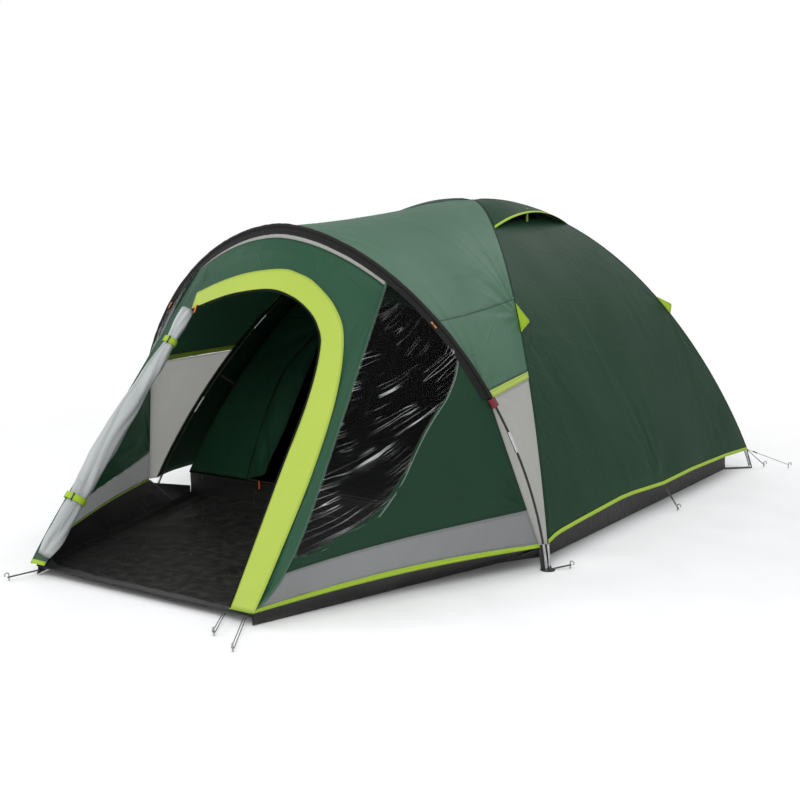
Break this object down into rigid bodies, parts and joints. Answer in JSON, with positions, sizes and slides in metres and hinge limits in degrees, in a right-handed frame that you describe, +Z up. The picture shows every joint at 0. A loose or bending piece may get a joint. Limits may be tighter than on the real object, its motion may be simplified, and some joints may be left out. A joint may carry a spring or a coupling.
{
  "type": "dome tent",
  "caption": "Dome tent with a porch: crossed poles and a leaning porch arch carry a panelled fly over a hung inner tent, with rolled door, windows and propped vents.",
  "frame": {"origin": "on the ground, midway between the feet of the two crossed poles at the porch end", "axes": "+Z up, +Y from the porch towards the rear of the bedroom, +X to the right when +Y is ahead"},
  "size_m": [2.477, 3.8979, 1.4097],
  "materials": {
    "fly_light_green": "matt coated weave",
    "fly_front_green": "matt coated weave",
    "fly_dark_green": "matt coated weave",
    "lime_trim": "matt coated weave",
    "lime_binding": "matt tape",
    "grey_mud_cloth": "matt coated weave",
    "grey_side_cloth": "matt coated weave",
    "rolled_lining": "matt coated back of the door",
    "clear_pvc": "clear soft sheet",
    "black_mesh": "fine net",
    "black_sleeve": "matt weave",
    "red_band": "matt webbing",
    "black_pole": "satin black",
    "bright_ferrule": "polished",
    "silver_tip": "satin",
    "elastic": "braided elastic",
    "black_plastic": "moulded",
    "orange_pull": "cord and moulded grip",
    "zip_tape": "coil zip",
    "inner_black_cloth": "thin breathable weave",
    "tub_sheet": "woven sheet",
    "black_webbing": "webbing",
    "steel_peg": "wire",
    "guy_line": "braided cord"
  },
  "bodies": {
    "root": {"arch_sleeve": "black_sleeve", "corner_eyelets": "bright_ferrule", "corner_straps": "black_webbing", "corner_webbing": "black_webbing", "door_ties": "lime_trim", "door_trim": "lime_trim", "door_zip": "zip_tape", "fly_dome_left": "fly_dark_green", "fly_dome_rear": "fly_dark_green", "fly_dome_right": "fly_dark_green", "fly_front_panel": "fly_front_green", "fly_hood": "fly_light_green", "fly_porch_left": "fly_front_green", "fly_porch_right": "fly_front_green", "grey_panel_left": "grey_side_cloth", "grey_panel_right": "grey_side_cloth", "guy_cord_front_left": "guy_line", "guy_cord_front_right": "guy_line", "guy_line_rear_left": "guy_line", "guy_line_rear_right": "guy_line", "guy_tabs": "lime_trim", "hem_binding": "lime_binding", "hem_straps": "black_webbing", "inner_clips": "black_plastic", "inner_door_flap": "inner_black_cloth", "inner_front_wall": "inner_black_cloth", "inner_rear_wall": "inner_black_cloth", "inner_straps": "black_webbing", "inner_tub": "tub_sheet", "inner_wall_left": "inner_black_cloth", "inner_wall_right": "inner_black_cloth", "inner_zip": "zip_tape", "main_pole_lower": "black_pole", "main_pole_upper": "black_pole", "mud_strips": "grey_mud_cloth", "peg_loops": "elastic", "pegs": "steel_peg", "pole_ferrules": "bright_ferrule", "pole_tips": "silver_tip", "porch_arch_pole": "black_pole", "porch_facing": "grey_side_cloth", "porch_groundsheet": "tub_sheet", "rolled_door": "rolled_lining", "shock_cords": "elastic", "shoulder_strips": "lime_trim", "sleeve_end_bands": "red_band", "toggles": "black_plastic", "vent_hood_left": "lime_trim", "vent_hood_right": "lime_trim", "vent_meshes": "black_mesh", "windows": "clear_pvc"},
    "vent_prop_right": {"vent_prop_right": "black_plastic"},
    "vent_prop_left": {"vent_prop_left": "black_plastic"},
    "door_slider": {"door_zip_slider": "black_plastic"},
    "door_pull": {"door_zip_pull": "orange_pull"},
    "inner_slider": {"inner_zip_slider": "black_plastic"},
    "inner_pull": {"inner_zip_pull": "orange_pull"},
    "tensioner_right": {"line_tensioner_right": "black_plastic"},
    "tensioner_left": {"line_tensioner_left": "black_plastic"}
  },
  "joints": [
    {"name": "vent_prop_right_fold", "type": "hinge", "parent": "root", "child": "vent_prop_right", "pos_m": [0.304, 1.15, 1.30332], "axis": [0, -1, 0], "range_deg": [0, 50], "deforming": ["vent_hood_right"]},
    {"name": "vent_prop_left_fold", "type": "hinge", "parent": "root", "child": "vent_prop_left", "pos_m": [-0.304, 1.15, 1.30332], "axis": [0, 1, 0], "range_deg": [0, 50], "deforming": ["vent_hood_left"]},
    {"name": "door_zip_slide", "type": "slide", "parent": "root", "child": "door_slider", "axis": [0.9395, -0.0219, 0.3418], "range_m": [0, 0.08]},
    {"name": "door_pull_swing", "type": "hinge", "parent": "door_slider", "child": "door_pull", "pos_m": [-0.29971, -0.5096, 0.9957], "axis": [-0.9395, 0.0219, -0.3418], "range_deg": [0, 150]},
    {"name": "inner_zip_slide", "type": "slide", "parent": "root", "child": "inner_slider", "axis": [1, 0, 0], "range_m": [0, 0.9]},
    {"name": "inner_pull_swing", "type": "hinge", "parent": "inner_slider", "child": "inner_pull", "pos_m": [-0.52, 0.14079, 0.123], "axis": [-1, 0, 0], "range_deg": [0, 150]},
    {"name": "tensioner_right_slide", "type": "slide", "parent": "root", "child": "tensioner_right", "axis": [0.8003, 0.4908, -0.3443], "range_m": [-0.02, 0.12]},
    {"name": "tensioner_left_slide", "type": "slide", "parent": "root", "child": "tensioner_left", "axis": [-0.8003, 0.4908, -0.3443], "range_m": [-0.02, 0.12]}
  ]
}
